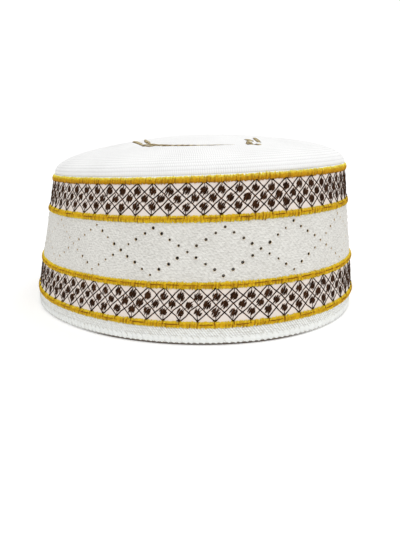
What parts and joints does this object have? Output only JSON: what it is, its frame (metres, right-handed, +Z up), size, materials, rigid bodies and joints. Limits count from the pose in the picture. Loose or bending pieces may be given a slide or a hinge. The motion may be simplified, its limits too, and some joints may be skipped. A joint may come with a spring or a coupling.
{
  "type": "embroidered kuma cap",
  "caption": "Stiff oval cloth cap with a tapering side wall, domed stitched crown and raised embroidered borders, open at the rim for the head.",
  "frame": {"origin": "middle of the cap's footprint, on the surface that the rim rests on", "axes": "+Z up, the long axis of the head along Y with the front towards -Y, +X to the wearer's left"},
  "size_m": [0.1634, 0.2074, 0.0935],
  "materials": {
    "wall_cotton": "matt white quilted cotton, densely machine stitched",
    "crown_cotton": "matt white cotton in close stitched rows",
    "yellow_thread": "lustrous golden yellow satin stitch",
    "dark_thread": "dark brown embroidery thread with a low sheen",
    "tan_thread": "tan embroidery thread with a low sheen"
  },
  "bodies": {
    "root": {"side_wall": "wall_cotton", "crown": "crown_cotton", "upper_band_top_border": "yellow_thread", "upper_band_bottom_border": "yellow_thread", "lower_band_top_border": "yellow_thread", "lower_band_bottom_border": "yellow_thread"}
  },
  "joints": []
}
